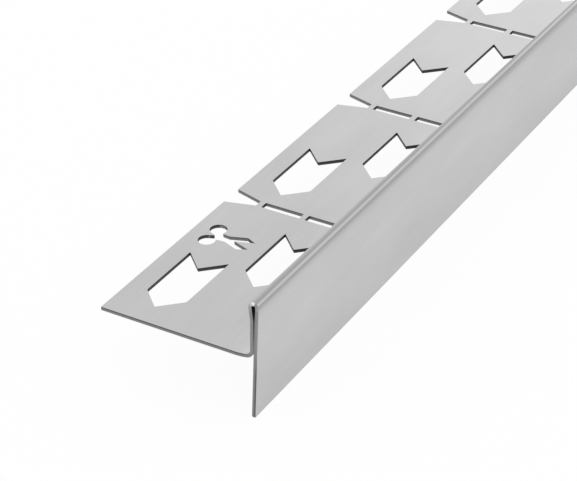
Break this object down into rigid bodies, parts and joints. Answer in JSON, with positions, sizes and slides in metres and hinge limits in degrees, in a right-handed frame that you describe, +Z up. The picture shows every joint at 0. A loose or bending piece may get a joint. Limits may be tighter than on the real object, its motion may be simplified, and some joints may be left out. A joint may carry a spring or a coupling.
{
  "type": "shower slope wedge profile",
  "caption": "Folded stainless sheet profile with a perforated anchoring leg, a hemmed top edge and a face that tapers along its length, to close the step beside a sloping shower floor.",
  "frame": {"origin": "centre of the bounding box's underside, on the level floor that the profile stands on", "axes": "+Y along the length from the deep end to the shallow end, +X from the leg's free edge to the visible face, +Z up as it stands on the deep end of its face and the far edge of its leg"},
  "size_m": [0.0526, 0.9806, 0.0386],
  "materials": {
    "stainless_steel": "fine brushed stainless steel, grain along the length, raw punched edges"
  },
  "bodies": {
    "root": {"slope_profile": "stainless_steel"}
  },
  "joints": []
}
